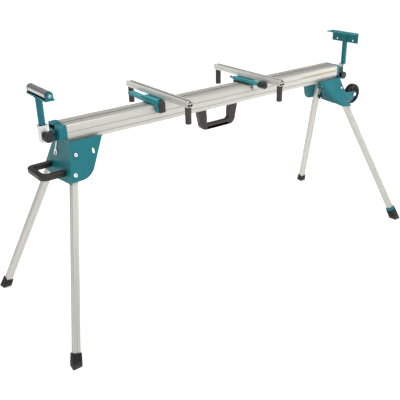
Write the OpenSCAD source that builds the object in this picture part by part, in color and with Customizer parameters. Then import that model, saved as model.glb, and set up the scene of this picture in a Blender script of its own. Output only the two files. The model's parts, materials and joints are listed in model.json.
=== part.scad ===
// Folding mitre saw stand. Units are millimetres.
// +X runs along the beam to the wheel end, +Y to the back, +Z up, origin on the
// floor under the middle of the beam.

/* [Beam] */
// Length of the main beam
beam_length = 1460; // [1450:2:1466]
// Width of the main beam
beam_width = 90; // [88:0.5:92]
// Height of the beam's top face above the floor
beam_top = 790; // [780:1:800]
// Distance from the centre to each leg pivot
pivot_x = 724; // [721:0.5:726]

/* [Legs] */
// Side of the square leg tube
leg_side = 27.5; // [26.5:0.25:28]
// Sideways tilt of the legs and bracket sides, degrees from vertical
leg_tilt = 22.1; // [21.5:0.1:22.6]
// Lean of each leg along the beam, degrees inside its tilted plane
leg_lean = 15.83; // [15.3:0.05:16.2]
// Distance of each lock pin from its leg pivot
lock_radius = 74; // [73:0.5:76]

/* [Saw bars] */
// Position of the left saw bar along the beam
bar_1_x = -303; // [-330:1:-280]
// Position of the right saw bar along the beam
bar_2_x = 177; // [150:1:200]
// Length of each saw bar, front to back
bar_length = 440; // [430:1:450]

/* [Work supports] */
// Distance from the centre to the left support post
post_left_x = 802; // [800:0.5:804]
// Distance from the centre to the right support post
post_right_x = 825; // [823:0.5:827]
// Diameter of the support roller
roller_diameter = 31; // [29:0.5:32]

/* [Wheels] */
// Wheel diameter
wheel_diameter = 100; // [96:1:102]
// Wheel width
wheel_width = 24; // [22:1:26]

/* [Hidden] */
$fn = 64;

teal = [0.1, 0.47, 0.5];
dark_teal = [0.06, 0.3, 0.33];
silver = [0.82, 0.81, 0.78];
black = [0.12, 0.12, 0.12];
zinc = [0.78, 0.8, 0.8];

beam_height = 68;
beam_bottom = beam_top - beam_height;
beam_end = beam_length / 2;
sheet = 2.5;
leg_y = 47;
half_leg = leg_side / 2;
pivot_s = 46;
pivot_z = beam_bottom - pivot_s * cos(leg_tilt);
leg_reach = pivot_z / (cos(leg_tilt) * cos(leg_lean));
plate_in = 15;
plate_out = plate_in + sheet;
end_lean = 0.262;
end_x = 733.5;
arm_r = 20;
arm_z = beam_top - 42;
knob_right_in = 30;
post_r = 12.5;
fit = 0.05;
wheel_x = 825;
wheel_z = 637;
wheel_y = 68;
roller_x = 7 - post_left_x;
roller_z = beam_top + 128;
bar_w = 27.7;
bar_h = 23.6;
bar_z = beam_top + 24;

// ---- placing -------------------------------------------------------------

// Tilted plane of the front legs: X along the beam, -Z down the slope, -Y outward.
module side_frame() {
  translate([0, -leg_y, beam_bottom]) rotate([-leg_tilt, 0, 0]) children();
}

// Left front leg: origin on the pivot, -Z down the leg, -Y outward.
module leg_frame() {
  side_frame() translate([-pivot_x, 0, -pivot_s]) rotate([0, leg_lean, 0]) children();
}

module at_side(back) {
  if (back) {
    mirror([0, 1, 0]) children();
  } else {
    children();
  }
}

module at_corner(right, back) {
  if (right) {
    mirror([1, 0, 0]) at_side(back) children();
  } else {
    at_side(back) children();
  }
}

// Cylinder along Y from y0 to y1.
module rod_y(r, y0, y1, x = 0, z = 0, n = 64) {
  translate([x, y1, z]) rotate([90, 0, 0]) cylinder(r = r, h = y1 - y0, $fn = n);
}

// Cylinder along X from x0 to x1.
module rod_x(r, x0, x1, y = 0, z = 0) {
  translate([x0, y, z]) rotate([0, 90, 0]) cylinder(r = r, h = x1 - x0);
}

// Box given by its low and high corners.
module box(low, high) {
  translate(low) cube([high[0] - low[0], high[1] - low[1], high[2] - low[2]]);
}

// Flat outline in X and Z, thickened along Y from y0 to y1.
module slab_y(y0, y1) {
  translate([0, y1, 0]) rotate([90, 0, 0]) linear_extrude(height = y1 - y0) children();
}

// Flat outline in Y and Z, thickened along X from x0 to x1.
module slab_x(x0, x1) {
  translate([x0, 0, 0]) rotate([90, 0, 90]) linear_extrude(height = x1 - x0) children();
}

// Rectangle with round corners.
module round_rect(low, high, r) {
  translate([low[0] + r, low[1]]) square([high[0] - low[0] - 2 * r, high[1] - low[1]]);
  translate([low[0], low[1] + r]) square([high[0] - low[0], high[1] - low[1] - 2 * r]);
  for (x = [low[0] + r, high[0] - r]) {
    for (y = [low[1] + r, high[1] - r]) {
      translate([x, y]) circle(r = r);
    }
  }
}

// ---- beam ----------------------------------------------------------------

module t_slot(mouth, head, depth, head_depth, top) {
  translate([-mouth / 2, top - depth]) square([mouth, depth + 1]);
  translate([-head / 2, top - depth]) square([head, head_depth]);
}

module beam_section() {
  w = beam_width / 2;
  difference() {
    round_rect([-w, beam_bottom], [w, beam_top], 5);
    t_slot(9, 18, 12, 8, beam_top);
    translate([-w + 4, beam_bottom + 4]) square([beam_width - 8, 46]);
    for (side = [-1, 1]) {
      translate([side * 27 - 14, beam_bottom + 53]) square([28, 11]);
      translate([side * 16 - 0.8, beam_top - 1.2]) square([1.6, 2]);
      translate([side * w - 1.2, beam_bottom + 16.6]) square([2.4, 2.2]);
      translate([side * w - 0.8, beam_bottom + 40]) square([1.6, 1]);
    }
  }
}

module beam() {
  color(silver) difference() {
    slab_x(-beam_end, beam_end) beam_section();
    for (x = [-650, 650]) {
      rod_y(4 + fit, beam_width / 2 - 6, beam_width / 2 + 1, x, arm_z);
    }
  }
}

// Raised cap with a hollow behind its rim; it also guides the left extension arm.
module end_cap_left() {
  w = beam_width / 2;
  z0 = beam_bottom + 18;
  color(teal) difference() {
    union() {
      slab_x(-beam_end - 30, -beam_end) polygon([
        [-w - 1, z0], [w + 1, z0], [w + 1, beam_top - 6], [w - 6, beam_top + 4], [10, beam_top + 4],
        [6, beam_top], [-w + 12, beam_top], [-w + 3, beam_top - 4], [-w - 1, beam_top - 14]
      ]);
      cap_spigot();
    }
    rod_x(arm_r + fit, -beam_end - 31, -beam_end + 13, 0, arm_z);
    box([-beam_end - 31, -9, arm_z + 21.5], [-beam_end - 4, 38, beam_top - 4]);
    box([-beam_end - 31, -4.5, arm_z + 21.5], [-beam_end + 1, 4.5, beam_top + 5]);
  }
}

// Flat cap, level with the beam's top.
module end_cap_right() {
  w = beam_width / 2;
  z0 = beam_bottom + 18;
  color(teal) mirror([1, 0, 0]) difference() {
    union() {
      slab_x(-beam_end - 13, -beam_end) polygon([
        [-w - 1, z0], [w + 1, z0], [w + 1, beam_top - 6], [w - 5, beam_top], [-w + 5, beam_top],
        [-w - 1, beam_top - 6]
      ]);
      cap_spigot();
    }
    rod_x(arm_r + fit, -beam_end - 14, -beam_end + 13, 0, arm_z);
    box([-beam_end - 14, -4.5, arm_z + 21.5], [-beam_end + 1, 4.5, beam_top + 1]);
  }
}

// Part of a cap that sits inside the beam.
module cap_spigot() {
  w = beam_width / 2 - 4.3;
  box([-beam_end, -w, beam_bottom + 18], [-beam_end + 12, w, beam_bottom + 49.7]);
}

// ---- leg brackets --------------------------------------------------------

arc_x = -727;
arc_z = -68;
arc_r = 74;
top_x = -598;
run = top_x - arc_x;
rise = 5 - arc_z;
tangent = atan2(rise, run) - acos(arc_r / sqrt(run * run + rise * rise));
edge_top = -end_x - end_lean * (-5 * cos(leg_tilt) - plate_out * sin(leg_tilt));
edge_low = -end_x - end_lean * (142 * cos(leg_tilt) - plate_out * sin(leg_tilt));
pin_x = -pivot_x - lock_radius * sin(leg_lean);
pin_z = -pivot_s - lock_radius * cos(leg_lean);
folded_x = -pivot_x + lock_radius;

// Everything of a side plate that lies beyond the leaning end plate.
module past_end_plate() {
  polygon([[-900, 60], [edge_top + 16, 60], [edge_top, 5], [edge_low, -142], [-900, -142]]);
}

// Side plate with a round lower corner and a slot for the pin of the folded leg.
module round_side() {
  difference() {
    union() {
      polygon([
        [edge_top, 5], [top_x, 5],
        [arc_x + arc_r * cos(tangent), arc_z + arc_r * sin(tangent)],
        [arc_x, arc_z], [arc_x, arc_z - arc_r], [edge_low, arc_z - arc_r]
      ]);
      translate([arc_x, arc_z]) circle(r = arc_r, $fn = 128);
    }
    translate([-pivot_x, -pivot_s]) circle(r = 4.1);
    translate([pin_x, pin_z]) circle(r = 4.6);
    for (z = [-51, -41]) {
      translate([folded_x, z]) circle(r = 4.7);
    }
    translate([folded_x - 4.7, -51]) square([9.4, 10]);
    past_end_plate();
  }
}

// Side plate with a straight inner edge and an angled foot.
module angled_side() {
  difference() {
    polygon([
      [edge_top, 5], [-590, 5], [-588, -80], [-646, -104], [-706, -136], [-730, -142], [edge_low, -142]
    ]);
    translate([-pivot_x, -pivot_s]) circle(r = 4.1);
    translate([pin_x, pin_z]) circle(r = 4.6);
    past_end_plate();
  }
}

// Second layer over the angled side plate, with room round its bolts and pin.
module doubler() {
  difference() {
    polygon([[edge_top, 5], [-592, 5], [-706, -136], [-730, -142], [edge_low, -142]]);
    translate([-pivot_x, -pivot_s]) circle(r = 8.5);
    translate([pin_x, pin_z]) circle(r = 8.5);
    past_end_plate();
  }
}

module cheek_outline() {
  low = -end_x - end_lean * (142 * cos(leg_tilt) - plate_in * sin(leg_tilt));
  difference() {
    union() {
      translate([-pivot_x, -pivot_s]) circle(r = 20);
      translate([-pivot_x - 20, -pivot_s]) square([40, pivot_s + 4]);
    }
    translate([-pivot_x, -pivot_s]) circle(r = 4.1);
    polygon([[-900, 60], [-end_x, 60], [-end_x, -6.7], [low, -142], [-900, -142]]);
  }
}

module end_plate() {
  x = -end_x;
  low = x - end_lean * (beam_bottom - 580);
  y_top = leg_y + plate_out / cos(leg_tilt) + 0.1;
  y_low = y_top + (beam_bottom - 592) * tan(leg_tilt);
  difference() {
    intersection() {
      slab_y(-130, 130) polygon([
        [x, beam_bottom + 17.5], [x - sheet, beam_bottom + 17.5], [x - sheet, beam_bottom],
        [low - sheet, 580], [low, 580], [x, beam_bottom]
      ]);
      slab_x(-800, -720) polygon([
        [-50, beam_bottom + 17.5], [-y_top + 4.5, beam_bottom + 11], [-y_top, beam_bottom],
        [-y_low, 592], [0, 582], [y_low, 592], [y_top, beam_bottom],
        [y_top - 4.5, beam_bottom + 11], [50, beam_bottom + 17.5]
      ]);
    }
    rod_x(arm_r + 0.5, x - 10, x + 10, 0, arm_z);
  }
}

// Bracket of the left end; turned half round it is also the bracket of the right end.
module leg_bracket() {
  color(teal) {
    side_frame() {
      slab_y(-plate_out, -plate_in) round_side();
      slab_y(plate_in + 0.2, plate_in + 0.2 + sheet) cheek_outline();
    }
    mirror([0, 1, 0]) side_frame() {
      difference() {
        slab_y(-plate_out, -plate_in) angled_side();
        for (z = [-51, -46]) {
          rod_y(4.7, -plate_in - 2, -plate_in + 1, folded_x, z);
        }
        box([folded_x - 4.7, -plate_in - 2, -51], [folded_x + 4.7, -plate_in + 1, -46]);
      }
      slab_y(-plate_out - 1.5, -plate_out) doubler();
      slab_y(plate_in + 0.2, plate_in + 0.2 + sheet) cheek_outline();
    }
    end_plate();
    box([-end_x - 1, -leg_y - 17, beam_bottom - 3], [-604, leg_y + 17, beam_bottom]);
  }
}

module leg_bracket_left() {
  leg_bracket();
}

module leg_bracket_right() {
  rotate([0, 0, 180]) leg_bracket();
}

// Ring round the outer end of a lock pin's hole.
module pin_bush(x, z) {
  difference() {
    rod_y(7, -plate_out - 1.2, -plate_out, x, z);
    rod_y(4.7, -plate_out - 2, -plate_out + 1, x, z);
  }
}

module pivot_bolts() {
  color(zinc) {
    for (right = [false, true]) {
      for (back = [false, true]) {
        at_corner(right, back) side_frame() translate([-pivot_x, 0, -pivot_s]) {
          rod_y(4, -plate_out - 1, plate_in + sheet + 7);
          rod_y(6.5, -plate_out - 4.5, -plate_out);
          rod_y(7.5, plate_in + sheet + 0.2, plate_in + sheet + 6.5, 0, 0, 6);
          pin_bush(pin_x + pivot_x, pin_z + pivot_s);
        }
      }
    }
    for (turn = [0, 180]) {
      rotate([0, 0, turn]) mirror([0, 1, 0]) side_frame() for (z = [-18, -42, -72]) {
        rod_y(3, -plate_out - 2, -plate_out, -595, z);
      }
    }
  }
}

// ---- legs ----------------------------------------------------------------

module leg_outline(grow) {
  h = half_leg + grow;
  round_rect([-h, -h], [h, h], 3.5 + grow);
}

module leg_section() {
  h = half_leg;
  difference() {
    leg_outline(0);
    leg_outline(-2);
    for (a = [0, 90, 180, 270]) {
      rotate([0, 0, a]) translate([h - 0.6, -1]) square([1.2, 2]);
    }
  }
}

module leg_tube(foot_gap) {
  color(silver) leg_frame() difference() {
    translate([0, 0, foot_gap - leg_reach]) linear_extrude(height = leg_reach - foot_gap + 4)
      leg_section();
    rod_y(4 + fit, -20, 20);
    rod_y(4 + fit, -20, 20, 0, -lock_radius);
  }
}

module leg_plug() {
  color(black) leg_frame() difference() {
    union() {
      intersection() {
        rod_y(half_leg, -half_leg, half_leg);
        box([-20, -20, 4], [20, 20, 20]);
      }
      translate([0, 0, -26]) linear_extrude(height = 30) leg_outline(-2.4);
    }
    rod_y(4 + fit, -20, 20);
  }
}

module lock_pin() {
  color(black) leg_frame() {
    rod_y(4, 0.4 - plate_in, 20, 0, -lock_radius);
    rod_y(7, plate_in + 4, plate_in + 15, 0, -lock_radius);
    rod_y(8.5, plate_in + 13, plate_in + 17, 0, -lock_radius);
  }
}

module above_floor() {
  intersection() {
    children();
    box([-1200, -600, 0], [1200, 600, 400]);
  }
}

// Tapered block with rounded corners from z0 up to z1 along the leg.
module tapered_block(z0, z1, half_low, half_high) {
  intersection() {
    slab_y(-40, 40) polygon([[-half_low, z0], [half_low, z0], [half_high, z1], [-half_high, z1]]);
    slab_x(-40, 40) polygon([[-half_low, z0], [half_low, z0], [half_high, z1], [-half_high, z1]]);
    translate([0, 0, z0]) cylinder(r1 = 1.31 * half_low, r2 = 1.31 * half_high, h = z1 - z0);
  }
}

module leg_socket(z0, z1) {
  translate([0, 0, z0]) linear_extrude(height = z1 - z0) leg_outline(fit);
}

module foot() {
  color(black) above_floor() leg_frame() difference() {
    tapered_block(-leg_reach - 20, -leg_reach + 46, 18.8, 16.8);
    leg_socket(-leg_reach + 16, -leg_reach + 60);
  }
}

module foot_collar() {
  color(teal) leg_frame() difference() {
    tapered_block(-leg_reach + 54, -leg_reach + 68, 18, 17);
    leg_socket(-leg_reach + 50, -leg_reach + 80);
  }
}

module levelling_foot() {
  color(black) {
    above_floor() leg_frame() tapered_block(-leg_reach - 20, -leg_reach + 53, 18.8, 18.2);
    leg_frame() translate([0, 0, -leg_reach + 50]) linear_extrude(height = 70) leg_outline(-2.4);
  }
}

module leg_lf_tube() {
  leg_tube(16);
}

module leg_lb_tube() {
  at_corner(false, true) leg_tube(16);
}

module leg_rf_tube() {
  at_corner(true, false) leg_tube(54);
}

module leg_rb_tube() {
  at_corner(true, true) leg_tube(16);
}

module leg_lf_plug() {
  leg_plug();
}

module leg_lb_plug() {
  at_corner(false, true) leg_plug();
}

module leg_rf_plug() {
  at_corner(true, false) leg_plug();
}

module leg_rb_plug() {
  at_corner(true, true) leg_plug();
}

module lock_pin_lf() {
  lock_pin();
}

module lock_pin_lb() {
  at_corner(false, true) lock_pin();
}

module lock_pin_rf() {
  at_corner(true, false) lock_pin();
}

module lock_pin_rb() {
  at_corner(true, true) lock_pin();
}

module foot_lf() {
  foot();
}

module foot_lb() {
  at_corner(false, true) foot();
}

module foot_rb() {
  at_corner(true, true) foot();
}

module foot_collar_rf() {
  at_corner(true, false) foot_collar();
}

module foot_rf() {
  at_corner(true, false) levelling_foot();
}

// ---- handles and clip ----------------------------------------------------

module centre_handle() {
  top = beam_bottom;
  color(black) slab_y(-11, 11) difference() {
    union() {
      polygon([
        [-112, top], [-99, top - 60], [-93, top - 75], [-62, top - 100], [62, top - 100],
        [93, top - 75], [99, top - 60], [112, top]
      ]);
      for (x = [-65, 65]) {
        translate([x, top - 68]) circle(r = 32);
      }
    }
    round_rect([-62, top - 76], [62, top - 8], 14);
    translate([-64, top - 30]) square([128, 31]);
  }
}

module handle_outline() {
  difference() {
    union() {
      translate([-834, -72]) square([105, 144]);
      translate([-862, -44]) square([105, 88]);
      for (y = [-44, 44]) {
        translate([-834, y]) circle(r = 28);
      }
    }
    translate([-824, -49]) square([105, 98]);
    translate([-838, -35]) square([105, 70]);
    for (y = [-35, 35]) {
      translate([-824, y]) circle(r = 14);
    }
  }
}

module end_handle() {
  z0 = beam_bottom - 112;
  z1 = beam_bottom - 90;
  color(black) intersection() {
    translate([0, 0, z0]) linear_extrude(height = z1 - z0) handle_outline();
    slab_y(-100, 100) polygon([
      [-900, z0 - 10], [-end_x - sheet - end_lean * (beam_bottom - z0 + 10), z0 - 10],
      [-end_x - sheet - end_lean * (beam_bottom - z1 - 10), z1 + 10], [-900, z1 + 10]
    ]);
  }
}

module end_clip() {
  color(zinc) translate([-end_x - sheet, 0, beam_bottom]) rotate([0, atan(end_lean), 0])
    slab_x(-3.2, -0.2) difference() {
      polygon([
        [31, -4], [40, -4], [40, -40], [43, -44], [43, -62], [36, -62], [36, -48], [27, -48],
        [27, -62], [20, -62], [20, -44], [31, -38]
      ]);
      translate([35.5, -12]) circle(r = 2);
    }
}

// ---- wheels --------------------------------------------------------------

module wheel_arm() {
  slab_y(-wheel_y - 18, -wheel_y - 15) difference() {
    union() {
      polygon([
        [end_x + sheet + end_lean * (beam_bottom - 660), 660],
        [end_x + sheet + end_lean * (beam_bottom - 596), 596],
        [end_x + 62, 598], [wheel_x + 9, wheel_z - 13], [wheel_x + 2, wheel_z + 15.8], [end_x + 36, 656]
      ]);
      translate([wheel_x, wheel_z]) circle(r = 16);
    }
    translate([wheel_x, wheel_z]) circle(r = 5);
  }
}

module wheel_arms() {
  color(teal) for (back = [false, true]) {
    at_side(back) wheel_arm();
  }
}

module wheel_bolts() {
  color(zinc) for (back = [false, true]) {
    at_side(back) {
      rod_y(5, -wheel_y - 18, -wheel_y + 20, wheel_x, wheel_z);
      rod_y(8.5, -wheel_y - 22.5, -wheel_y - 18, wheel_x, wheel_z);
      rod_y(8.5, -wheel_y + 14, -wheel_y + 21, wheel_x, wheel_z, 6);
    }
  }
}

module wheel() {
  r = wheel_diameter / 2;
  w = wheel_width / 2;
  color(black) translate([wheel_x, -wheel_y, wheel_z]) rotate([90, 0, 0])
    rotate_extrude($fn = 96) polygon([
      [5 + fit, -w - 1.5], [11, -w - 1.5], [13, -w + 4], [r - 14, -w + 6], [r - 11, -w + 1],
      [r - 3, -w], [r, -w + 4], [r, w - 4], [r - 3, w], [r - 11, w - 1], [r - 14, w - 6],
      [13, w - 4], [11, w + 1.5], [5 + fit, w + 1.5]
    ]);
}

module wheel_front() {
  wheel();
}

module wheel_rear() {
  mirror([0, 1, 0]) wheel();
}

// ---- extension arms and sleeves -----------------------------------------

// Arm of one side, drawn for the left: tube, inner slider block and end tongue.
module ext_arm(post_x, tongue, low, high) {
  color(dark_teal) {
    difference() {
      union() {
        rod_x(arm_r, -post_x + tongue, -120, 0, arm_z);
        box([-160, -40.6, beam_bottom + 4.4], [-120, 40.6, beam_bottom + 49.6]);
      }
      rod_x(arm_r - 3, -post_x + tongue + 6, -119, 0, arm_z);
    }
    box([-post_x + 14, -11, low], [-post_x + tongue, 11, high]);
  }
}

module ext_arm_left() {
  ext_arm(post_left_x, 30, arm_z - 6, arm_z + 18);
}

module ext_arm_right() {
  mirror([1, 0, 0]) difference() {
    ext_arm(post_right_x, 44, arm_z - 34, arm_z + 12);
    rod_y(3 + fit, -20, 20, -post_right_x + knob_right_in, arm_z - 19);
  }
}

// Square sleeve round a post, with a collar at its top.
module sleeve_tube(x, low) {
  difference() {
    union() {
      box([x - 14, -14, low], [x + 14, 14, low + 60]);
      box([x - 16, -16, low + 56], [x + 16, 16, low + 64]);
    }
    translate([x, 0, low - 1]) cylinder(r = post_r + fit, h = 66);
  }
}

module sleeve_left() {
  color(silver) difference() {
    sleeve_tube(-post_left_x, beam_top - 56);
    rod_y(3 + fit, -20, 0, -post_left_x + 5, arm_z + 7);
  }
}

module sleeve_right() {
  low = arm_z - 34;
  color(silver) {
    sleeve_tube(post_right_x, beam_top - 74);
    for (y = [-14, 11]) {
      difference() {
        box([post_right_x - 41, y, low], [post_right_x - 13, y + 3, low + 28]);
        rod_y(3 + fit, -20, 20, post_right_x - knob_right_in, arm_z - 19);
      }
    }
  }
}

// Ribbed clamp knob; its screw runs along Y from the knob to the given depth.
module sleeve_knob(depth) {
  rod_y(3, -24, depth);
  rod_y(6, -20.6, -14.4);
  difference() {
    rod_y(18, -37, -20.5);
    rod_y(10, -38, -35);
    for (a = [0 : 30 : 330]) {
      rotate([0, a, 0]) rod_y(2.2, -38, -20, 19, 0, 24);
    }
  }
  rod_y(7, -38, -34);
}

module sleeve_knob_left() {
  color(black) translate([-post_left_x + 5, 0, arm_z + 7]) sleeve_knob(-12.9);
}

module sleeve_knob_right() {
  color(black) translate([post_right_x - knob_right_in, 0, arm_z - 19]) {
    sleeve_knob(19);
    rod_y(6, 14.4, 19, 0, 0, 6);
  }
}

// Extension lock screw on the back of the beam, drawn for the left.
module ext_lock() {
  y0 = beam_width / 2;
  color(black) {
    rod_y(4, 21, y0 + 8, -650, arm_z);
    rod_y(8, y0 + 0.5, y0 + 6, -650, arm_z);
    difference() {
      rod_y(13.5, y0 + 5, y0 + 21, -650, arm_z);
      for (a = [0 : 60 : 300]) {
        translate([-650, 0, arm_z]) rotate([0, a, 0]) rod_y(3.5, y0 + 4, y0 + 22, 15, 0, 24);
      }
    }
  }
}

module ext_lock_left() {
  ext_lock();
}

module ext_lock_right() {
  mirror([1, 0, 0]) ext_lock();
}

// ---- work supports -------------------------------------------------------

module post(x, low, high) {
  color(teal) translate([x, 0, 0]) difference() {
    translate([0, 0, low]) cylinder(r = post_r, h = high - low);
    translate([0, 0, low - 1]) cylinder(r = post_r - 2, h = high - low - 3);
  }
}

module post_left() {
  post(-post_left_x, beam_top - 52, roller_z - 19);
}

module post_right() {
  post(post_right_x, beam_top - 68, stop_top - 3);
}

module cradle_left() {
  color(teal) {
    box([roller_x - 16, -81, roller_z - 19], [roller_x + 16, 81, roller_z - 17]);
    box([-post_left_x - 13, -16, roller_z - 19], [roller_x, 16, roller_z - 17]);
    for (side = [-1, 1]) {
      box([roller_x + side * 17 - 1, -81, roller_z - 19], [roller_x + side * 17 + 1, 81, roller_z - 13]);
    }
    for (y = [-81, 78.5]) {
      slab_y(y, y + 2.5) difference() {
        union() {
          translate([roller_x, roller_z]) circle(r = 14.5);
          translate([roller_x - 14.5, roller_z - 19]) square([29, 19]);
        }
        translate([roller_x, roller_z]) circle(r = 4);
      }
    }
  }
}

module roller_axle() {
  color(zinc) {
    rod_y(4, -81, 81, roller_x, roller_z);
    for (y = [-84.5, 81]) {
      rod_y(7, y, y + 3.5, roller_x, roller_z);
    }
  }
}

module roller_tube() {
  r = roller_diameter / 2;
  color(silver) difference() {
    rod_y(r, -72, 72, roller_x, roller_z);
    rod_y(r - 2, -73, 73, roller_x, roller_z);
  }
}

module roller_ends() {
  r = roller_diameter / 2;
  color(black) for (side = [-1, 1]) {
    difference() {
      union() {
        rod_y(r, side * 75 - 2.9, side * 75 + 2.9, roller_x, roller_z);
        rod_y(r - 2.1, side * 68 - 6, side * 68 + 6, roller_x, roller_z);
      }
      rod_y(4 + fit, side * 71 - 20, side * 71 + 20, roller_x, roller_z);
    }
  }
}

stop_top = beam_top + 146;

// Upright flange with two bolt holes, and a flat top plate over the post.
module stop_plate() {
  x = post_right_x + 1;
  color(teal) difference() {
    union() {
      box([x - 3, -80, stop_top - 49], [x, 80, stop_top]);
      box([x - 50, -80, stop_top - 3], [x, 80, stop_top]);
    }
    translate([post_right_x, 0, stop_top - 50]) cylinder(r = post_r + 0.1, h = 47);
    for (y = [-49, 49]) {
      rod_x(4.5, x - 4, x + 1, y, stop_top - 38);
    }
  }
}

// ---- saw bars ------------------------------------------------------------

module bar_section() {
  w = bar_w / 2;
  difference() {
    translate([-w, bar_z]) square([bar_w, bar_h]);
    t_slot(7.5, 13.5, 9, 5.5, bar_z + bar_h);
    for (x = [-w + 1.8, 0.7]) {
      translate([x, bar_z + 2]) square([w - 2.5, 9]);
    }
    for (x = [-w + 1.8, w - 5.3]) {
      translate([x, bar_z + 13]) square([3.5, 8]);
    }
    for (x = [-w - 0.5, w - 0.5]) {
      translate([x, bar_z + 11]) square([1, 1.4]);
    }
  }
}

module saw_bar(x) {
  color(silver) translate([x, 0, 0]) slab_y(-bar_length / 2, bar_length / 2) bar_section();
}

// Block under a bar, with a hook at the front edge and a key in the beam's slot.
module saddle(x) {
  w = beam_width / 2;
  color(silver) translate([x, 0, 0]) {
    box([-13, -w - 12, beam_top + 0.3], [13, w + 6, bar_z]);
    box([-13, -w - 12, beam_top - 20], [13, -w - 0.5, beam_top + 1]);
    box([-13, -4.1, beam_top - 5], [13, 4.1, beam_top + 1]);
    box([-13, -8.6, beam_top - 11.6], [13, 8.6, beam_top - 4.4]);
  }
}

module bar_feet(x) {
  color(black) for (y = [-bar_length / 2 + 14, bar_length / 2 - 14]) {
    translate([x, y, bar_z - 68]) {
      cylinder(r1 = 10.8, r2 = 12.25, h = 2);
      translate([0, 0, 2]) cylinder(r = 12.25, h = 66);
    }
  }
}

module bar_1() {
  saw_bar(bar_1_x);
}

module bar_1_saddle() {
  saddle(bar_1_x);
}

module bar_1_feet() {
  bar_feet(bar_1_x);
}

module bar_2() {
  saw_bar(bar_2_x);
}

module bar_2_saddle() {
  saddle(bar_2_x);
}

module bar_2_feet() {
  bar_feet(bar_2_x);
}

lever_y = -55;
lever_z = beam_top;

// One cheek of the lever clamp: level part over the beam, hook down its front.
module clamp_cheek(x) {
  slab_x(x, x + 2.5) polygon([
    [58, beam_top + 6], [58, bar_z - 2], [-62, bar_z - 2], [-66, bar_z - 6], [-66, beam_top - 20],
    [-61, beam_top - 26], [-51, beam_top - 26], [-46, beam_top - 21], [-46, beam_top + 1],
    [30, beam_top + 1]
  ]);
}

module clamp_1_base() {
  color(teal) translate([bar_1_x, 0, 0]) {
    box([-42, -50, bar_z - 5], [-14.2, 58, bar_z - 2]);
    box([-15, -20, bar_z - 10], [-13, 20, bar_z - 2]);
    clamp_cheek(-42);
    clamp_cheek(-16.7);
    rod_x(4, -47.5, -16, lever_y, lever_z);
    rod_x(6, -49, -47.3, lever_y, lever_z);
  }
}

module clamp_1_pad() {
  color(black) translate([bar_1_x, 0, 0]) difference() {
    union() {
      box([-41, -73, beam_top - 25], [-13.5, -66, bar_z - 6]);
      box([-39.3, -67, beam_top - 22], [-16.9, -60, bar_z - 5]);
    }
    for (z = [beam_top - 18 : 9 : beam_top + 12]) {
      box([-42, -74, z], [-13, -72.3, z + 2]);
    }
  }
}

module clamp_1_lever() {
  color(teal) translate([bar_1_x, lever_y, lever_z]) {
    difference() {
      slab_x(-46, -43) {
        circle(r = 9.5);
        polygon([
          [-9, 3], [-6, 11], [0, 14], [105, 16.5], [203, 19.5], [211, 16], [212, 12], [209, 8],
          [201, 6.5], [105, 2.5], [8, 1], [0, -2]
        ]);
      }
      rod_x(4.1, -50, -40);
      for (y = [131, 178]) {
        rod_x(3.2, -50, -40, y, 9 + (y - 131) / 25);
      }
    }
    slab_x(-46, -20) polygon([[116, 14.8], [205, 17.5], [205, 19.5], [116, 16.8]]);
    slab_x(-22, -20) polygon([[118, 4], [203, 7], [207, 11], [204, 18], [118, 15.5]]);
  }
}

screw_x = -25;
screw_z = bar_z - 10;

module clamp_2_channel() {
  color(teal) translate([bar_2_x, 0, 0]) {
    box([-34, -104, bar_z - 5], [-15, 64, bar_z - 3]);
    box([-16, -20, bar_z - 12], [-13, 20, bar_z - 3]);
    for (x = [-34, -17]) {
      box([x, -104, bar_z - 16], [x + 2, 64, bar_z - 3]);
    }
    difference() {
      box([-34, -104, bar_z - 16], [-15, -101, bar_z - 3]);
      rod_y(4.3, -105, -100, screw_x, screw_z);
    }
  }
}

module clamp_2_screw() {
  color(black) translate([bar_2_x + screw_x, 0, screw_z]) {
    rod_y(4, -112, 80);
    rod_y(6, 76, 84, 0, 0, 6);
    rod_y(6.5, -112, -104.4);
    difference() {
      rod_y(13.5, -144, -108);
      for (a = [0 : 60 : 300]) {
        rotate([0, a, 0]) rod_y(3.5, -145, -107, 16, 0, 32);
      }
    }
    rod_y(7, -146, -143);
  }
}

module clamp_2_jaw() {
  w = beam_width / 2;
  x = screw_x;
  color(black) translate([bar_2_x, 0, 0]) difference() {
    union() {
      box([x - 6.5, w + 0.5, beam_top - 22], [x + 7, w + 14, bar_z - 5.5]);
      box([x - 6.5, w - 14, beam_top + 0.5], [x + 7, w + 2, bar_z - 5.5]);
    }
    rod_y(4 + fit, w - 15, w + 15, x, screw_z);
  }
}

beam();
end_cap_left();
end_cap_right();
leg_bracket_left();
leg_bracket_right();
pivot_bolts();
centre_handle();
end_handle();
end_clip();
wheel_arms();
wheel_bolts();
leg_lf_tube();
leg_lb_tube();
leg_rf_tube();
leg_rb_tube();
leg_lf_plug();
leg_lb_plug();
leg_rf_plug();
leg_rb_plug();
lock_pin_lf();
lock_pin_lb();
lock_pin_rf();
lock_pin_rb();
foot_lf();
foot_lb();
foot_rb();
foot_collar_rf();
foot_rf();
ext_arm_left();
ext_arm_right();
sleeve_left();
sleeve_right();
sleeve_knob_left();
sleeve_knob_right();
ext_lock_left();
ext_lock_right();
post_left();
cradle_left();
roller_axle();
roller_tube();
roller_ends();
post_right();
stop_plate();
bar_1();
bar_1_saddle();
bar_1_feet();
clamp_1_base();
clamp_1_pad();
clamp_1_lever();
bar_2();
bar_2_saddle();
bar_2_feet();
clamp_2_channel();
clamp_2_screw();
clamp_2_jaw();
wheel_front();
wheel_rear();
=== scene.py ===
import json
import math
import random

import bmesh
import bpy
from mathutils import Matrix, Vector

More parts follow.
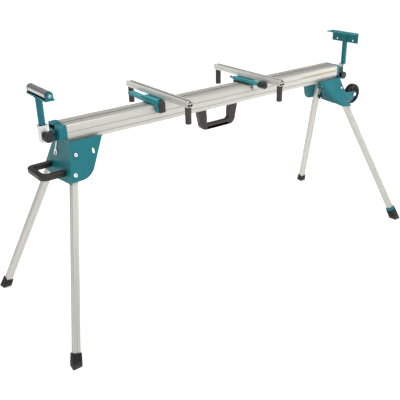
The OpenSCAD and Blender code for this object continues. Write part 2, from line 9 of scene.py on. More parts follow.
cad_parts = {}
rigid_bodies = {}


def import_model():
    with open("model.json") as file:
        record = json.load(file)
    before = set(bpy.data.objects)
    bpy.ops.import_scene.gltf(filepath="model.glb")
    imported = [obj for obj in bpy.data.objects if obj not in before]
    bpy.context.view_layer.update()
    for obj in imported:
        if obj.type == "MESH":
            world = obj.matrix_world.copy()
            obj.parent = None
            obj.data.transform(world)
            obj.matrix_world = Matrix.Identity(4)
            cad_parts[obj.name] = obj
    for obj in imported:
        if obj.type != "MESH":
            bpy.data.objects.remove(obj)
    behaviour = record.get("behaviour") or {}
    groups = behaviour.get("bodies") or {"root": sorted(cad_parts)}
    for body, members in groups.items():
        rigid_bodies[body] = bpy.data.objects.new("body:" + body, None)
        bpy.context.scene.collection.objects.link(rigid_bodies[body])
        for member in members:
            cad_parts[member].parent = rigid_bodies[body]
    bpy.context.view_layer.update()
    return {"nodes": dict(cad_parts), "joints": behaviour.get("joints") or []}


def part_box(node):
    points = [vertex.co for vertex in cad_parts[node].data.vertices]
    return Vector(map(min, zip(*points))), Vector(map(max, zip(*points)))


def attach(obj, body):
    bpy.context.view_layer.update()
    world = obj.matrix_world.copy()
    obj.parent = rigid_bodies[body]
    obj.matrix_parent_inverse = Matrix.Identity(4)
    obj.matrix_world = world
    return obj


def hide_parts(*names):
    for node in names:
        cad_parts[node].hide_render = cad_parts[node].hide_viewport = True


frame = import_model()
nodes = frame["nodes"]
scene = bpy.context.scene
random.seed(11)

# Slope of the legs across the beam, and along it.
TILT = math.radians(22.1)
LEAN = math.radians(15.83)
ALONG_Y = (0, 1, 0)


# ---- node helpers ---------------------------------------------------------


class Graph:
    """Short calls for building one material's nodes."""

    def __init__(self, name):
        self.material = bpy.data.materials.new(name)
        self.material.use_nodes = True
        self.tree = self.material.node_tree
        self.bsdf = self.tree.nodes["Principled BSDF"]
        self.out = self.tree.nodes["Material Output"]
        self.coords = self.tree.nodes.new("ShaderNodeTexCoord").outputs["Object"]

    def node(self, kind, **settings):
        made = self.tree.nodes.new(kind)
        for key, value in settings.items():
            setattr(made, key, value)
        return made

    def plug(self, socket, value):
        if isinstance(value, bpy.types.NodeSocket):
            self.tree.links.new(value, socket)
        else:
            socket.default_value = value

    def math(self, operation, a, b=0.0):
        n = self.node("ShaderNodeMath", operation=operation)
        self.plug(n.inputs[0], a)
        self.plug(n.inputs[1], b)
        return n.outputs[0]

    def vector(self, operation, a, b=(0, 0, 0)):
        n = self.node("ShaderNodeVectorMath", operation=operation)
        self.plug(n.inputs[0], a)
        self.plug(n.inputs[1], b)
        return n.outputs["Value" if operation in ("DOT_PRODUCT", "LENGTH") else "Vector"]

    def ramp(self, value, low, high, out_low=0.0, out_high=1.0):
        n = self.node("ShaderNodeMapRange", clamp=True)
        for socket, v in zip(n.inputs, (value, low, high, out_low, out_high)):
            self.plug(socket, v)
        return n.outputs[0]

    def noise(self, coords, scale, detail=3.0, rough=0.55):
        n = self.node("ShaderNodeTexNoise")
        self.plug(n.inputs["Vector"], coords)
        n.inputs["Scale"].default_value = scale
        n.inputs["Detail"].default_value = detail
        n.inputs["Roughness"].default_value = rough
        return n.outputs["Fac"]

    def mix(self, factor, a, b):
        n = self.node("ShaderNodeMix", data_type="RGBA")
        self.plug(n.inputs["Factor"], factor)
        self.plug(n.inputs[6], a)
        self.plug(n.inputs[7], b)
        return n.outputs[2]

    def bump(self, height, strength, distance, normal=None):
        n = self.node("ShaderNodeBump")
        n.inputs["Strength"].default_value = strength
        n.inputs["Distance"].default_value = distance
        self.plug(n.inputs["Height"], height)
        if normal is not None:
            self.plug(n.inputs["Normal"], normal)
        return n.outputs[0]

    def along(self, axis, across_scale, along_scale):
        """Coordinates stretched along one direction, for grain and brushing."""
        a = Vector(axis).normalized()
        b = a.orthogonal().normalized()
        c = a.cross(b)
        n = self.node("ShaderNodeCombineXYZ")
        for socket, direction, scale in zip(
            n.inputs, (b, c, a), (across_scale, across_scale, along_scale)
        ):
            self.plug(socket, self.vector("DOT_PRODUCT", self.coords, tuple(direction * scale)))
        return n.outputs[0]

    def radius(self, point, axis):
        """Distance from the line through point along axis."""
        a = Vector(axis).normalized()
        offset = self.vector("SUBTRACT", self.coords, tuple(point))
        return self.vector("LENGTH", self.vector("CROSS_PRODUCT", offset, tuple(a)))

    def edge(self, size):
        """1 on sharp edges, fading to 0 within size."""
        bevel = self.node("ShaderNodeBevel", samples=4)
        bevel.inputs["Radius"].default_value = size
        flat = self.node("ShaderNodeNewGeometry").outputs["Normal"]
        facing = self.vector("DOT_PRODUCT", bevel.outputs[0], flat)
        return self.ramp(facing, 0.97, 0.80)

    def grime(self, color, depth, distance=0.012):
        """Painted shade: color darkened by ambient occlusion towards the bottom of grooves and in
        tight corners.
        """
        shade = self.node("ShaderNodeAmbientOcclusion", samples=6)
        shade.inputs["Distance"].default_value = distance
        closed = self.ramp(shade.outputs["AO"], 0.25, 0.95, depth, 0.0)
        return self.mix(closed, color, (0.03, 0.028, 0.025, 1.0))

    def set(self, **values):
        for key, value in values.items():
            self.plug(self.bsdf.inputs[key.replace("_", " ")], value)


def rgb(r, g, b):
    return (r, g, b, 1.0)


# ---- materials ------------------------------------------------------------


def extruded(name, axis, tone=1.0):
    """Satin anodised aluminium with fine die lines along the extrusion."""
    g = Graph(name)
    lines = g.noise(g.along(axis, 900, 4), 1.0, 4.0, 0.6)
    wide = g.noise(g.along(axis, 60, 1.2), 1.0, 2.0)
    cloud = g.noise(g.coords, 7.0, 3.0)
    scuff = g.ramp(g.noise(g.along(axis, 260, 90), 1.0, 6.0, 0.7), 0.66, 0.80)
    shade = g.math("ADD", g.ramp(lines, 0.3, 0.7, 0.0, 0.5), g.ramp(wide, 0.3, 0.7, 0.0, 0.5))
    color = g.mix(
        shade,
        rgb(0.46 * tone, 0.450 * tone, 0.415 * tone),
        rgb(0.58 * tone, 0.570 * tone, 0.535 * tone),
    )
    color = g.mix(g.math("MULTIPLY", scuff, 0.18), color, rgb(0.80, 0.79, 0.77))
    color = g.mix(g.ramp(cloud, 0.35, 0.75, 0.0, 0.12), color, rgb(0.50, 0.47, 0.42))
    # Painted shade: darker in the grooves and corners of the profile.
    color = g.grime(color, 0.75)
    g.set(Base_Color=color, Metallic=0.62, Specular_IOR_Level=0.4)
    rough = g.math("ADD", g.ramp(lines, 0.25, 0.75, 0.34, 0.46), g.ramp(cloud, 0.3, 0.7, 0.0, 0.05))
    g.set(Roughness=rough, Normal=g.bump(lines, 0.10, 0.0002))
    return g.material


def painted(name, color, wear_color, rough=0.36):
    """Powder coat: slight orange peel, uneven tone, wear on the edges."""
    g = Graph(name)
    peel = g.noise(g.coords, 420.0, 2.0)
    grain = g.noise(g.coords, 1600.0, 1.0)
    tone = g.noise(g.coords, 9.0, 4.0)
    chips = g.noise(g.coords, 260.0, 5.0, 0.7)
    dark = tuple(c * 0.84 for c in color[:3]) + (1.0,)
    base = g.mix(g.ramp(tone, 0.3, 0.7), dark, color)
    edge = g.edge(0.0011)
    worn = g.math("MULTIPLY", edge, g.ramp(chips, 0.44, 0.60))
    base = g.mix(g.math("MULTIPLY", edge, 0.30), base, wear_color)
    base = g.mix(g.math("MULTIPLY", worn, 0.55), base, rgb(0.42, 0.46, 0.46))
    scratch = g.ramp(g.noise(g.along((1, 0.3, -0.5), 500, 12), 1.0, 3.0), 0.74, 0.80)
    base = g.mix(g.math("MULTIPLY", scratch, 0.22), base, wear_color)
    # Painted shade: darker in grooves and corners.
    base = g.grime(base, 0.55, 0.008)
    g.set(Base_Color=base, Metallic=0.0, Specular_IOR_Level=0.22)
    g.set(Roughness=g.ramp(tone, 0.3, 0.7, rough - 0.05, rough + 0.06))
    g.set(Normal=g.bump(grain, 0.05, 0.0002, g.bump(peel, 0.10, 0.0004)))
    return g.material


def moulded(name, color, rough=0.52, grain_scale=1500.0):
    """Black moulded plastic with a fine spark grain."""
    g = Graph(name)
    grain = g.noise(g.coords, grain_scale, 2.0)
    tone = g.noise(g.coords, 14.0, 4.0)
    light = tuple(c * 1.4 + 0.002 for c in color[:3]) + (1.0,)
    base = g.mix(g.ramp(tone, 0.3, 0.75), color, light)
    base = g.mix(g.math("MULTIPLY", g.edge(0.0010), 0.5), base, rgb(0.075, 0.072, 0.066))
    g.set(Base_Color=base, Metallic=0.0, Specular_IOR_Level=0.45)
    g.set(Roughness=g.ramp(tone, 0.3, 0.7, rough - 0.06, rough + 0.08))
    g.set(Normal=g.bump(grain, 0.35, 0.0003))
    return g.material


def rubber(name, color, dust=0.0):
    """Matt rubber, dusty towards the floor."""
    g = Graph(name)
    grain = g.noise(g.coords, 900.0, 3.0)
    tone = g.noise(g.coords, 30.0, 4.0)
    light = tuple(c * 1.5 + 0.002 for c in color[:3]) + (1.0,)
    base = g.mix(g.ramp(tone, 0.3, 0.7), color, light)
    if dust:
        height = g.node("ShaderNodeSeparateXYZ")
        g.plug(height.inputs[0], g.coords)
        low = g.ramp(height.outputs[2], 0.0, 0.022, 1.0, 0.0)
        dusty = g.math("MULTIPLY", low, g.ramp(grain, 0.3, 0.6, 0.0, dust))
        base = g.mix(dusty, base, rgb(0.22, 0.20, 0.17))
    g.set(Base_Color=base, Metallic=0.0, Specular_IOR_Level=0.25)
    g.set(Roughness=g.ramp(tone, 0.3, 0.7, 0.66, 0.82))
    normal = g.bump(grain, 0.30, 0.0004)
    if dust:
        rib = 0.0075
        wave = g.math("SINE", g.math("MULTIPLY", height.outputs[2], 2 * math.pi / rib))
        normal = g.bump(g.ramp(wave, -0.9, -0.4), 0.8, 0.0008, normal)
    g.set(Normal=normal)
    return g.material


def plated(name, color, rough=0.22):
    """Bright zinc plate with a faint cloudy haze."""
    g = Graph(name)
    cloud = g.noise(g.coords, 60.0, 4.0)
    fine = g.noise(g.coords, 900.0, 2.0)
    base = g.mix(g.ramp(cloud, 0.3, 0.7), color, tuple(c * 0.86 for c in color[:3]) + (1.0,))
    g.set(Base_Color=base, Metallic=1.0)
    g.set(Roughness=g.ramp(cloud, 0.3, 0.7, rough - 0.05, rough + 0.12))
    g.set(Normal=g.bump(fine, 0.08, 0.0002))
    return g.material


def turned(name, axis, color, rough=0.26):
    """Steel with rings of turning marks about an axis."""
    g = Graph(name)
    rings = g.noise(g.along(axis, 6, 1800), 1.0, 3.0, 0.6)
    cloud = g.noise(g.coords, 18.0, 3.0)
    base = g.mix(g.ramp(rings, 0.3, 0.7), tuple(c * 0.84 for c in color[:3]) + (1.0,), color)
    base = g.mix(g.ramp(cloud, 0.45, 0.75, 0.0, 0.25), base, rgb(0.36, 0.35, 0.34))
    g.set(Base_Color=base, Metallic=1.0)
    g.set(Roughness=g.ramp(rings, 0.3, 0.7, rough - 0.05, rough + 0.10))
    g.set(Normal=g.bump(rings, 0.15, 0.0002))
    return g.material


KEPT_BY_EACH_NODE = ("name", "parent", "location", "select")


def blended(name, first, second, mask):
    """A copy of material first whose shader gives way to second's where mask(graph) is 1."""
    g = Graph(name)
    shaders = []
    for source in (first, second):
        copy = {}
        for n in source.node_tree.nodes:
            if n.type == "OUTPUT_MATERIAL":
                continue
            made = g.tree.nodes.new(n.bl_idname)
            for prop in n.bl_rna.properties:
                if prop.is_readonly or prop.identifier in KEPT_BY_EACH_NODE:
                    continue
                try:
                    setattr(made, prop.identifier, getattr(n, prop.identifier))
                except (AttributeError, TypeError):
                    pass
            for here, there in zip(made.inputs, n.inputs):
                if hasattr(here, "default_value"):
                    here.default_value = there.default_value
            copy[n.name] = made
        for link in source.node_tree.links:
            if link.to_node.type == "OUTPUT_MATERIAL":
                continue
            outs = list(link.from_node.outputs)
            ins = list(link.to_node.inputs)
            g.tree.links.new(
                copy[link.from_node.name].outputs[outs.index(link.from_socket)],
                copy[link.to_node.name].inputs[ins.index(link.to_socket)],
            )
        shaders.append(copy["Principled BSDF"].outputs[0])
    both = g.node("ShaderNodeMixShader")
    g.plug(both.inputs[0], mask(g))
    g.plug(both.inputs[1], shaders[0])
    g.plug(both.inputs[2], shaders[1])
    g.tree.links.new(both.outputs[0], g.out.inputs[0])
    return g.material


def shaft_mask(point, axis, size, near, far):
    """1 within size of the line through point along axis, between near and far along it."""

    def mask(g):
        a = Vector(axis).normalized()
        along = g.vector("DOT_PRODUCT", g.coords, tuple(a))
        place = g.math("SUBTRACT", along, a.dot(Vector(point)))
        past = g.math("GREATER_THAN", place, near)
        inside = g.math("MULTIPLY", past, g.math("LESS_THAN", place, far))
        return g.math("MULTIPLY", inside, g.math("LESS_THAN", g.radius(point, axis), size))

    return mask


TEAL = rgb(0.003, 0.168, 0.200)
TEAL_WORN = rgb(0.060, 0.32, 0.35)
teal = painted("teal_powder_coat", TEAL, TEAL_WORN)
# Clamp teal, lighter than the frame teal: painted light on the clamps.
clamp_teal_painted_light = painted("light_teal_powder_coat", rgb(0.030, 0.300, 0.345), rgb(0.10, 0.40, 0.43))
# Bracket teal, darker: painted shade on the bare part of the brackets' side plates.
bracket_teal_painted_shade = painted("bracket_teal_powder_coat_painted_shade", rgb(0.003, 0.080, 0.095), TEAL_WORN)
# Extension-arm teal, darker: painted shade on the arms.
arm_teal_painted_shade = painted("dark_teal_powder_coat", rgb(0.008, 0.080, 0.095), rgb(0.04, 0.17, 0.19), 0.32)
black_steel = painted("black_oxide", rgb(0.022, 0.024, 0.025), rgb(0.09, 0.09, 0.09), 0.40)
beam_metal = extruded("anodised_beam", (1, 0, 0))
bar_metal = extruded("anodised_bars", (0, 1, 0), 1.3)
zinc = plated("bright_zinc", rgb(0.80, 0.81, 0.82))
dull_zinc = plated("dull_zinc", rgb(0.30, 0.46, 0.47), 0.35)
black = moulded("black_plastic", rgb(0.014, 0.0132, 0.0122))
grip = moulded("grip_plastic", rgb(0.0105, 0.0090, 0.0068), 0.42, 900.0)
foot_rubber = rubber("foot_rubber", rgb(0.010, 0.0082, 0.0068), 0.35)
pad_rubber = rubber("pad_rubber", rgb(0.045, 0.040, 0.036))
tyre_rubber = rubber("tyre_rubber", rgb(0.009, 0.009, 0.009))
hub_plastic = moulded("hub_plastic", rgb(0.030, 0.022, 0.019), 0.48, 700.0)
label_film = painted("label_film", rgb(0.50, 0.44, 0.20), rgb(0.55, 0.52, 0.40), 0.42)
steel = turned("turned_roller", (0, 1, 0), rgb(0.60, 0.60, 0.60))
sleeve_steel = plated("sleeve_steel", rgb(0.66, 0.66, 0.65), 0.34)


def paint(material, *names):
    for name in names:
        mesh = nodes[name].data
        mesh.materials.clear()
        mesh.materials.append(material)


def leg_axis(right, back):
    """Direction of a leg towards the floor."""
    x = math.sin(LEAN) * (1 if right else -1)
    y = math.cos(LEAN) * math.sin(TILT) * (1 if back else -1)
    return (x, y, -math.cos(LEAN) * math.cos(TILT))


def side_axis(back):
    """Direction of the bolts and pins of the front or back legs."""
    return (0, math.cos(TILT) * (1 if back else -1), math.sin(TILT))


joints = {j["name"]: j for j in frame["joints"]}

# Each corner: its joint's name, and whether it is on the right and at the back.
CORNERS = {
    "lf": ("left_front", False, False),
    "lb": ("left_back", False, True),
    "rf": ("right_front", True, False),
    "rb": ("right_back", True, True),
}

paint(beam_metal, "beam", "bar_1_saddle", "bar_2_saddle")
paint(bar_metal, "bar_1", "bar_2")
paint(
    teal, "end_cap_left", "end_cap_right", "wheel_arms",
    "post_left", "cradle_left", "post_right", "stop_plate", "foot_collar_rf",
)


# Edge of the second layer on the angled side plates: a point on it, and its slope. Below it the
# bare plate is painted in shade.
EDGE_X = 0.592
EDGE_Z = 0.720
EDGE_SLOPE = 0.873
INSIDE_PLATES = 0.0625


def bare_plate_shade_mask(g):
    """1 on the part of the angled side plates that their second layer leaves bare: where the
    painted shade goes.
    """
    split = g.node("ShaderNodeSeparateXYZ")
    g.plug(split.inputs[0], g.coords)
    x, y, z = split.outputs
    edge = g.math("ADD", g.math("MULTIPLY", z, -EDGE_SLOPE), EDGE_X + EDGE_SLOPE * EDGE_Z)
    bare = g.math("LESS_THAN", g.math("ABSOLUTE", x), edge)
    outside = g.math("GREATER_THAN", g.math("ABSOLUTE", y), INSIDE_PLATES)
    angled = g.math("LESS_THAN", g.math("MULTIPLY", x, y), 0.0)
    return g.math("MULTIPLY", g.math("MULTIPLY", bare, outside), angled)


# The brackets' bare lower plates take the darker teal as painted shade.
bracket_paint_and_painted_shade = blended("bracket_paint_and_painted_shade", teal, bracket_teal_painted_shade, bare_plate_shade_mask)
paint(bracket_paint_and_painted_shade, "leg_bracket_left", "leg_bracket_right")
# The clamps take the lighter teal as painted light.
paint(clamp_teal_painted_light, "clamp_1_base", "clamp_1_lever", "clamp_2_channel")
# The extension arms take the darker teal as painted shade.
paint(arm_teal_painted_shade, "ext_arm_left", "ext_arm_right")
paint(steel, "roller_tube")
paint(sleeve_steel, "sleeve_left", "sleeve_right")
paint(zinc, "pivot_bolts", "wheel_bolts", "end_clip")
paint(dull_zinc, "roller_axle")
paint(grip, "centre_handle", "end_handle")
paint(black, "roller_ends")
paint(black_steel, "clamp_2_jaw")
paint(foot_rubber, "foot_lf", "foot_lb", "foot_rb", "foot_rf")
paint(pad_rubber, "bar_1_feet", "bar_2_feet", "clamp_1_pad")
for key, (_, right, back) in CORNERS.items():
    paint(extruded("anodised_leg_" + key, leg_axis(right, back)), f"leg_{key}_tube")
    paint(black, f"leg_{key}_plug")
    low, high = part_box(f"lock_pin_{key}")
    rod = shaft_mask((low + high) / 2, side_axis(back), 0.0045, -0.1, 0.1)
    paint(blended("lock_pin_" + key, black, zinc, rod), f"lock_pin_{key}")

# Knobs: black outside, and zinc on their threads up to a limit along the axis.
for name, joint, outward, limit in (
    ("sleeve_knob_left", "left_sleeve_knob", -1, 0.024),
    ("sleeve_knob_right", "right_sleeve_knob", -1, 0.024),
    ("ext_lock_left", "left_extension_lock", 1, 0.060),
    ("ext_lock_right", "right_extension_lock", 1, 0.060),
    ("clamp_2_screw", "clamp_screw_turn", -1, 0.106),
):
    point = (joints[joint]["pos_m"][0], 0, joints[joint]["pos_m"][2])
    thread = shaft_mask(point, (0, outward, 0), 0.0046, -0.2, limit)
    paint(blended(name, black, zinc, thread), name)
paint(tyre_rubber, "wheel_front", "wheel_rear")


# ---- softened edges of the CAD parts --------------------------------------


# Width and segments of the round on an edge, for the parts that are rounder than sheet metal.
SHEET_EDGE = (0.0005, 2)
ROUND_EDGES = {
    "end_handle": (0.005, 4),
    "centre_handle": (0.004, 4),
    "end_cap_left": (0.002, 4),
    "end_cap_right": (0.0015, 4),
}


def soften(name, width, segments):
    o = nodes[name]
    mesh = o.data
    for attribute in ("custom_normal", "sharp_edge"):
        if attribute in mesh.attributes:
            mesh.attributes.remove(mesh.attributes[attribute])
    mesh.shade_smooth()
    weld = o.modifiers.new("weld", "WELD")
    weld.merge_threshold = 0.000005
    bevel = o.modifiers.new("bevel", "BEVEL")
    bevel.width = width
    bevel.segments = segments
    bevel.limit_method = "ANGLE"
    bevel.angle_limit = math.radians(32)
    bevel.harden_normals = True
    bevel.use_clamp_overlap = True
    bevel.miter_outer = "MITER_ARC"


for name in nodes:
    soften(name, *ROUND_EDGES.get(name, SHEET_EDGE))


# ---- pieces added in Blender ----------------------------------------------


def axes(axis):
    """The unit vector along axis, and two across it."""
    a = Vector(axis).normalized()
    b = a.orthogonal().normalized()
    return a, b, a.cross(b)


def turn(b, c, k, count):
    """Direction k of count round the circle that b and c span."""
    angle = 2 * math.pi * k / count
    return b * math.cos(angle) + c * math.sin(angle)


def lathe(bm, point, axis, profile, segments=64, slot=0, tread=None):
    """Close the loop of (distance along axis, radius) points into a ring round axis."""
    a, b, c = axes(axis)
    rings = []
    for k in range(segments):
        out = turn(b, c, k, segments)
        ring = []
        for t, r in profile:
            cut = tread(k, t, r) if tread else 0.0
            ring.append(bm.verts.new(Vector(point) + a * t + out * (r - cut)))
        rings.append(ring)
    for k in range(segments):
        near, far = rings[k], rings[(k + 1) % segments]
        for i in range(len(profile)):
            j = (i + 1) % len(profile)
            bm.faces.new((near[i], near[j], far[j], far[i])).material_index = slot


def slab(bm, point, directions, low, high, slot=0):
    """Box between low and high in the given three directions from point."""
    corner = {}
    for i in (0, 1):
        for j in (0, 1):
            for k in (0, 1):
                place = Vector(point)
                for direction, pick, pair in zip(directions, (i, j, k), zip(low, high)):
                    place = place + Vector(direction) * pair[pick]
                corner[i, j, k] = bm.verts.new(place)
    for loop in (
        ((0, 0, 0), (0, 0, 1), (0, 1, 1), (0, 1, 0)), ((1, 0, 0), (1, 1, 0), (1, 1, 1), (1, 0, 1)),
        ((0, 0, 0), (1, 0, 0), (1, 0, 1), (0, 0, 1)), ((0, 1, 0), (0, 1, 1), (1, 1, 1), (1, 1, 0)),
        ((0, 0, 0), (0, 1, 0), (1, 1, 0), (1, 0, 0)), ((0, 0, 1), (1, 0, 1), (1, 1, 1), (0, 1, 1)),
    ):
        bm.faces.new([corner[key] for key in loop]).material_index = slot


def bead(bm, points, radius, closed=False, sides=8):
    """Weld bead: a tube along points that swells and thins from one dab to the next."""
    rings = []
    count = len(points)
    for i, point in enumerate(points):
        before = points[i - 1] if closed or i else point
        after = points[(i + 1) % count] if closed or i + 1 < count else point
        _, b, c = axes(Vector(after) - Vector(before))
        size = radius * (1.0 + 0.22 * math.sin(i * 2.1) + random.uniform(-0.05, 0.05))
        rings.append([
            bm.verts.new(Vector(point) + turn(b, c, k, sides) * size) for k in range(sides)
        ])
    for i in range(count if closed else count - 1):
        near, far = rings[i], rings[(i + 1) % count]
        for k in range(sides):
            j = (k + 1) % sides
            bm.faces.new((near[k], near[j], far[j], far[k]))
    if not closed:
        bm.faces.new(rings[0][::-1])
        bm.faces.new(rings[-1])


CREASE = math.radians(38)


def piece(name, bm, body, *materials, width=0.0, stands_for=None):
    """Turn bm into a named object that rides on body, its edges rounded to width."""
    bmesh.ops.recalc_face_normals(bm, faces=bm.faces)
    mesh = bpy.data.meshes.new(name)
    bm.to_mesh(mesh)
    bm.free()
    for material in materials:
        mesh.materials.append(material)
    mesh.shade_smooth()
    mesh.set_sharp_from_angle(angle=CREASE)
    made = bpy.data.objects.new(name, mesh)
    scene.collection.objects.link(made)
    if width:
        bevel = made.modifiers.new("bevel", "BEVEL")
        bevel.width = width
        bevel.segments = 2
        bevel.angle_limit = CREASE
        bevel.harden_normals = True
    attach(made, body)
    if stands_for:
        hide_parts(stands_for)
    return made


def line(start, end, step=0.0016):
    count = max(2, int((end - start).length / step))
    return [start.lerp(end, i / count) for i in range(count + 1)]


def circle(point, axis, radius, count):
    _, b, c = axes(axis)
    return [point + turn(b, c, k, count) * radius for k in range(count)]


RIBS = 8


def wheel(name):
    """Solid rubber tyre with a grooved tread on a ribbed plastic hub."""
    low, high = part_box(name)
    middle = (low + high) / 2
    r = (high.z - low.z) / 2
    w = 0.012
    half = [
        (0.0, r - 0.0012), (0.0010, r - 0.0012), (0.0014, r - 0.0001), (0.0046, r - 0.0001),
        (0.0050, r - 0.0012), (0.0060, r - 0.0012), (0.0064, r - 0.0002), (0.0098, r - 0.0009),
        (0.0114, r - 0.0026), (w, r - 0.0055), (w, r - 0.0078), (w - 0.0006, r - 0.0082),
        (w - 0.0006, r - 0.0092), (w, r - 0.0096), (w - 0.0008, r - 0.0118),
    ]
    tyre = half + [(-t, rr) for t, rr in reversed(half[1:])]

    def tread(k, t, rr):
        return 0.0011 if k % 4 == 0 and abs(t) > 0.0062 and rr > r - 0.0030 else 0.0

    bm = bmesh.new()
    lathe(bm, middle, ALONG_Y, tyre, 192, 0, tread)
    rim = [
        (-0.0104, r - 0.0118), (-0.0104, r - 0.0140), (-0.0030, r - 0.0160), (0.0030, r - 0.0160),
        (0.0104, r - 0.0140), (0.0104, r - 0.0118),
    ]
    lathe(bm, middle, ALONG_Y, rim, 96, 1)
    web = [(-0.0022, 0.0105), (-0.0022, r - 0.0150), (0.0022, r - 0.0150), (0.0022, 0.0105)]
    lathe(bm, middle, ALONG_Y, web, 96, 1)
    boss = [
        (-0.0134, 0.0052), (-0.0134, 0.0092), (-0.0126, 0.0104), (0.0, 0.0122), (0.0126, 0.0104),
        (0.0134, 0.0092), (0.0134, 0.0052),
    ]
    lathe(bm, middle, ALONG_Y, boss, 64, 1)
    rib_low = (0.0100, -0.0013, -0.0088)
    rib_high = (r - 0.0142, 0.0013, 0.0088)
    for k in range(RIBS):
        angle = 2 * math.pi * k / RIBS + 0.2
        out = Vector((math.cos(angle), 0, math.sin(angle)))
        across = Vector((-math.sin(angle), 0, math.cos(angle)))
        slab(bm, middle, (out, across, ALONG_Y), rib_low, rib_high, 1)
    piece(name + "_tyre_and_hub", bm, name, tyre_rubber, hub_plastic, stands_for=name)


wheel("wheel_front")
wheel("wheel_rear")

# Weld bead where the roller post meets its cradle.
low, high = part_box("post_left")
middle = Vector(((low.x + high.x) / 2, 0.0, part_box("cradle_left")[0].z - 0.0004))
bm = bmesh.new()
bead(bm, circle(middle, (0, 0, 1), (high.x - low.x) / 2 + 0.0003, 60), 0.0014, closed=True)
piece("post_left_weld", bm, "support_left", teal)

# Weld beads down both faces of each wheel arm, along the leaning end plate.
low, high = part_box("wheel_arms")
for place, side in (("front", -1), ("back", 1)):
    for face, out in (("_inner", 0.0830), ("_outer", 0.0860)):
        root = [
            Vector((low.x + 0.262 * (0.660 - z), side * out, z)) for z in (0.6585, 0.5975)
        ]
        bm = bmesh.new()
        bead(bm, line(*root), 0.0013)
        piece("wheel_arm_weld_" + place + face, bm, "frame", teal)

# Painted washers under the pivot bolts' heads, and a rim and a shallow six-sided socket in each
# head, the socket's black floor being painted shade.
WASHER = [(0.0, 0.0055), (0.0, 0.0082), (0.0008, 0.0084), (0.0012, 0.0080), (0.0012, 0.0055)]
RIM = [(0.0040, 0.0035), (0.0040, 0.0062), (0.0045, 0.0058), (0.0049, 0.0050), (0.0049, 0.0034)]
SOCKET_SHADE = [(0.0044, 0.0001), (0.0044, 0.0033), (0.0046, 0.0034), (0.0046, 0.0001)]
for key, (corner, right, back) in CORNERS.items():
    axis = Vector(side_axis(back))
    face = Vector(joints[corner + "_leg_fold"]["pos_m"]) + axis * 0.0175
    bm = bmesh.new()
    lathe(bm, face, axis, WASHER, 48, 2)
    lathe(bm, face, axis, RIM, 48)
    lathe(bm, face, axis, SOCKET_SHADE, 6, 1)
    piece(f"pivot_washer_{key}", bm, "frame", zinc, black_steel, teal)

# Plain film on the beam's front face, near its right end.
low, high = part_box("beam")
bm = bmesh.new()
slab(
    bm, (0.600, low.y, low.z + 0.0445), ((1, 0, 0), (0, 1, 0), (0, 0, 1)),
    (-0.12, -0.00025, -0.0028), (0.12, 0.0, 0.0028),
)
piece("beam_label_film", bm, "frame", label_film, width=0.0001)


# ---- stage ----------------------------------------------------------------


def plane(name, size, location, material):
    bm = bmesh.new()
    bmesh.ops.create_grid(bm, x_segments=1, y_segments=1, size=size)
    mesh = bpy.data.meshes.new(name)
    bm.to_mesh(mesh)
    bm.free()
    mesh.materials.append(material)
    made = bpy.data.objects.new(name, mesh)
    made.location = location
    scene.collection.objects.link(made)
    return made


floor_graph = Graph("floor_paper")
floor_graph.set(Base_Color=rgb(0.78, 0.78, 0.775), Roughness=0.9, Specular_IOR_Level=0.1)
floor_graph.set(Emission_Color=rgb(1.0, 1.0, 1.0), Emission_Strength=0.55)
plane("floor", 60, (0, 0, -0.0005), floor_graph.material)

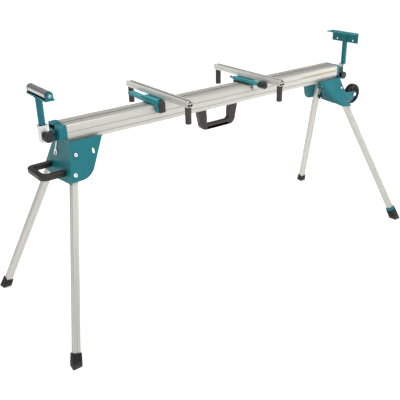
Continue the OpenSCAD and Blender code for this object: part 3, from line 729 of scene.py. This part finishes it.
# Studio: a bright horizon under a dim band and a bright ceiling. The camera sees white paper.
world = bpy.data.worlds.new("studio")
scene.world = world
world.use_nodes = True
tree = world.node_tree
coords = tree.nodes.new("ShaderNodeTexCoord")
split = tree.nodes.new("ShaderNodeSeparateXYZ")
ramp = tree.nodes.new("ShaderNodeValToRGB")
tree.links.new(coords.outputs["Generated"], split.inputs[0])
tree.links.new(split.outputs[2], ramp.inputs[0])
tree.links.new(ramp.outputs[0], tree.nodes["Background"].inputs[0])
for stop in ramp.color_ramp.elements:
    stop.color = (1.0, 1.0, 1.0, 1)
for position, level in ((0.05, 0.40), (0.15, 0.20), (0.45, 0.26), (0.75, 0.80)):
    ramp.color_ramp.elements.new(position).color = (level, level, level * 1.005, 1)
tree.nodes["Background"].inputs[1].default_value = 1.0
paper = tree.nodes.new("ShaderNodeBackground")
paper.inputs[0].default_value = (1.0, 1.0, 1.0, 1)
seen = tree.nodes.new("ShaderNodeMixShader")
tree.links.new(tree.nodes.new("ShaderNodeLightPath").outputs["Is Camera Ray"], seen.inputs[0])
tree.links.new(tree.nodes["Background"].outputs[0], seen.inputs[1])
tree.links.new(paper.outputs[0], seen.inputs[2])
tree.links.new(seen.outputs[0], tree.nodes["World Output"].inputs[0])


def area_light(name, location, target, size, power):
    light = bpy.data.lights.new(name, "AREA")
    light.shape = "DISK"
    light.size = size
    light.energy = power
    made = bpy.data.objects.new(name, light)
    made.location = location
    made.rotation_mode = "QUATERNION"
    made.rotation_quaternion = (Vector(target) - Vector(location)).to_track_quat("-Z", "Y")
    scene.collection.objects.link(made)


area_light("key", (0.75, -3.4, 2.1), (0.0, 0.0, 0.6), 2.4, 32)
area_light("side", (4.0, -1.0, 0.7), (0.0, 0.0, 0.5), 1.6, 60)
area_light("top", (0.0, 0.2, 3.6), (0.0, 0.0, 0.4), 2.4, 58)
area_light("left", (-4.2, -0.9, 1.3), (0.0, 0.0, 0.6), 1.6, 10)


def camera():
    """Camera at the photograph's angle."""
    yaw, pitch, roll = 0.64459, -0.43739, -0.02059
    sensor, focal = 36, 54.0747
    forward = Vector(
        (math.sin(yaw) * math.cos(pitch), math.cos(yaw) * math.cos(pitch), math.sin(pitch))
    )
    right = Vector((math.cos(yaw), -math.sin(yaw), 0))
    up = right.cross(forward)
    across = right * math.cos(roll) + up * math.sin(roll)
    upward = up * math.cos(roll) - right * math.sin(roll)
    data = bpy.data.cameras.new("camera")
    data.sensor_width = sensor
    data.lens = focal
    data.clip_end = 200
    made = bpy.data.objects.new("camera", data)
    made.matrix_world = Matrix((across, upward, -forward)).transposed().to_4x4()
    made.location = (-1.598, -1.99165, 1.4554)
    scene.collection.objects.link(made)
    scene.camera = made


camera()
scene.view_settings.view_transform = "Standard"
